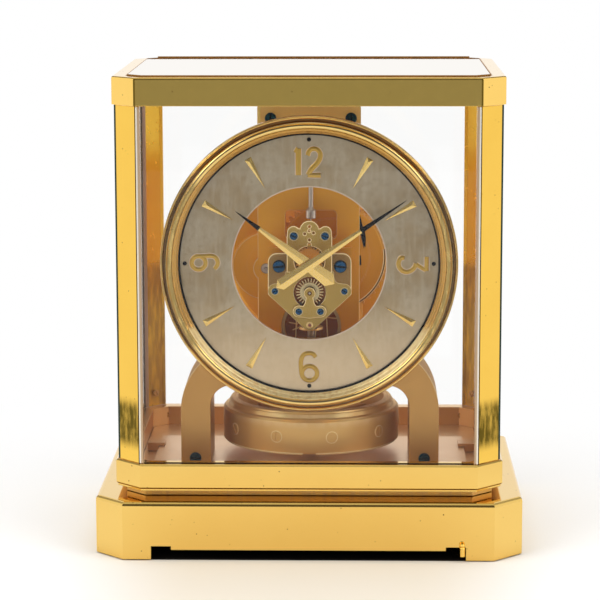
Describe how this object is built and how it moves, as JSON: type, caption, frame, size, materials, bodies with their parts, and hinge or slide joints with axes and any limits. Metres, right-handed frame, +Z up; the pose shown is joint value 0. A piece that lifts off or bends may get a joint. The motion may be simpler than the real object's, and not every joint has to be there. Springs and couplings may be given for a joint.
{
  "type": "atmospheric mantel clock",
  "caption": "Glazed gilt brass mantel clock on a stepped plinth, with an open dial, a visible gear train, a sealed bellows and a ring-shaped torsion pendulum.",
  "frame": {"origin": "on the ground under the middle of the plinth, where the feet stand", "axes": "+Z up, -Y towards the viewer of the dial, +X to the viewer's right"},
  "size_m": [0.21, 0.1681, 0.2357],
  "materials": {
    "polished_gilt": "polished, mirror bright",
    "matt_gilt": "matt rose gilt, fine grained",
    "brushed_gilt": "brushed gilt",
    "bright_steel": "polished steel",
    "blued_steel": "heat-blued steel",
    "silvered_dial": "silvered, matt, lightly aged",
    "clear_glass": "clear polished plate"
  },
  "bodies": {
    "case": {"plinth": "polished_gilt", "case_floor": "polished_gilt", "lower_frame": "polished_gilt", "post_front_left": "polished_gilt", "post_front_right": "polished_gilt", "post_rear_left": "polished_gilt", "post_rear_right": "polished_gilt", "upper_frame": "polished_gilt", "top_glass": "clear_glass", "left_glass": "clear_glass", "right_glass": "clear_glass", "rear_glass": "clear_glass", "rear_foot": "polished_gilt", "movement_base": "matt_gilt", "base_clip_left": "matt_gilt", "base_clip_right": "matt_gilt", "support_arch": "matt_gilt", "arch_screw_left": "blued_steel", "arch_screw_right": "blued_steel", "bridge_plate": "brushed_gilt", "suspension_bridge": "brushed_gilt", "suspension_screw_left": "blued_steel", "suspension_screw_right": "blued_steel", "suspension_guard": "bright_steel", "front_plate": "brushed_gilt", "back_plate": "brushed_gilt", "pillar_screw_left": "blued_steel", "pillar_screw_right": "blued_steel", "motion_cock": "brushed_gilt", "escape_cock": "brushed_gilt", "rear_plate": "brushed_gilt", "bellows_housing": "brushed_gilt", "bellows": "brushed_gilt", "dial": "silvered_dial", "bezel": "polished_gilt"},
    "front_pane": {"front_glass": "clear_glass"},
    "foot_left": {"levelling_foot_left": "polished_gilt"},
    "foot_right": {"levelling_foot_right": "polished_gilt"},
    "lock_lever": {"lock_lever": "polished_gilt"},
    "lock_pin": {"lock_pin": "bright_steel"},
    "minute": {"centre_wheel": "brushed_gilt", "cannon_pinion": "bright_steel", "minute_hand": "polished_gilt"},
    "motion": {"motion_wheel": "brushed_gilt"},
    "hour": {"hour_wheel": "brushed_gilt", "hour_hand": "polished_gilt"},
    "escape": {"escape_wheel": "brushed_gilt"},
    "third": {"third_wheel": "bright_steel"},
    "second": {"second_wheel": "brushed_gilt"},
    "barrel": {"barrel": "brushed_gilt", "barrel_cover": "brushed_gilt", "mainspring": "blued_steel"},
    "winding": {"barrel_arbor": "bright_steel"},
    "bellows_cap": {"bellows_cap": "bright_steel"},
    "pendulum": {"pendulum_ring": "matt_gilt", "pendulum_cross": "matt_gilt", "pendulum_stem": "bright_steel", "impulse_roller": "brushed_gilt", "suspension_wire": "bright_steel"},
    "pallet": {"pallet_lever": "bright_steel"}
  },
  "joints": [
    {"name": "minute_spin", "type": "hinge", "parent": "case", "child": "minute", "pos_m": [0, -0.04, 0.1422], "axis": [0, 1, 0], "continuous": true},
    {"name": "motion_spin", "type": "hinge", "parent": "case", "child": "motion", "pos_m": [0, -0.04, 0.1506], "axis": [0, 1, 0], "continuous": true},
    {"name": "hour_spin", "type": "hinge", "parent": "case", "child": "hour", "pos_m": [0, -0.04, 0.1422], "axis": [0, 1, 0], "continuous": true},
    {"name": "escape_spin", "type": "hinge", "parent": "case", "child": "escape", "pos_m": [0, -0.034, 0.1256], "axis": [0, 1, 0], "continuous": true},
    {"name": "third_spin", "type": "hinge", "parent": "case", "child": "third", "pos_m": [-0.00253, 0, 0.13156], "axis": [0, 1, 0], "continuous": true},
    {"name": "second_spin", "type": "hinge", "parent": "case", "child": "second", "pos_m": [-0.0232, 0.01, 0.1316], "axis": [0, 1, 0], "continuous": true},
    {"name": "barrel_spin", "type": "hinge", "parent": "case", "child": "barrel", "pos_m": [0.01, 0.02, 0.136], "axis": [0, 1, 0], "continuous": true},
    {"name": "pendulum_swing", "type": "hinge", "parent": "case", "child": "pendulum", "pos_m": [0, -0.004, 0.057], "axis": [0, 0, 1], "range_deg": [-270, 270]},
    {"name": "pallet_rock", "type": "hinge", "parent": "case", "child": "pallet", "pos_m": [0, -0.025, 0.109], "axis": [0, 1, 0], "range_deg": [-2.1, 2.1]},
    {"name": "bellows_stroke", "type": "slide", "parent": "case", "child": "bellows_cap", "axis": [0, -1, 0], "range_m": [0, 0.002]},
    {"name": "winding_turn", "type": "hinge", "parent": "case", "child": "winding", "pos_m": [0.01, 0.029, 0.136], "axis": [0, 1, 0], "range_deg": [0, 15]},
    {"name": "lock_lever_swing", "type": "hinge", "parent": "case", "child": "lock_lever", "pos_m": [0.038, -0.006, 0.004], "axis": [0, 0, -1], "range_deg": [0, 12]},
    {"name": "lock_pin_rise", "type": "slide", "parent": "case", "child": "lock_pin", "axis": [0, 0, 1], "range_m": [0, 0.0026]},
    {"name": "front_pane_lift", "type": "slide", "parent": "case", "child": "front_pane", "axis": [0, 0, 1], "range_m": [0, 0.004]},
    {"name": "foot_left_turn", "type": "hinge", "parent": "case", "child": "foot_left", "pos_m": [-0.084, -0.0615, 0.002], "axis": [0, 0, 1], "range_deg": [-720, 720]},
    {"name": "foot_right_turn", "type": "hinge", "parent": "case", "child": "foot_right", "pos_m": [0.084, -0.0615, 0.002], "axis": [0, 0, 1], "range_deg": [-720, 720]}
  ],
  "couplings": [
    {"joint": "motion_spin", "follows": "minute_spin", "ratio": -0.33333},
    {"joint": "hour_spin", "follows": "minute_spin", "ratio": 0.083333},
    {"joint": "escape_spin", "follows": "minute_spin", "ratio": -2.5},
    {"joint": "third_spin", "follows": "minute_spin", "ratio": -1.25},
    {"joint": "second_spin", "follows": "minute_spin", "ratio": 0.22727},
    {"joint": "barrel_spin", "follows": "minute_spin", "ratio": -0.032468},
    {"joint": "pallet_rock", "follows": "pendulum_swing", "ratio": 0.0074074},
    {"joint": "winding_turn", "follows": "bellows_stroke", "rad_per_m": 125},
    {"joint": "lock_pin_rise", "follows": "lock_lever_swing", "m_per_rad": 0.011937}
  ]
}
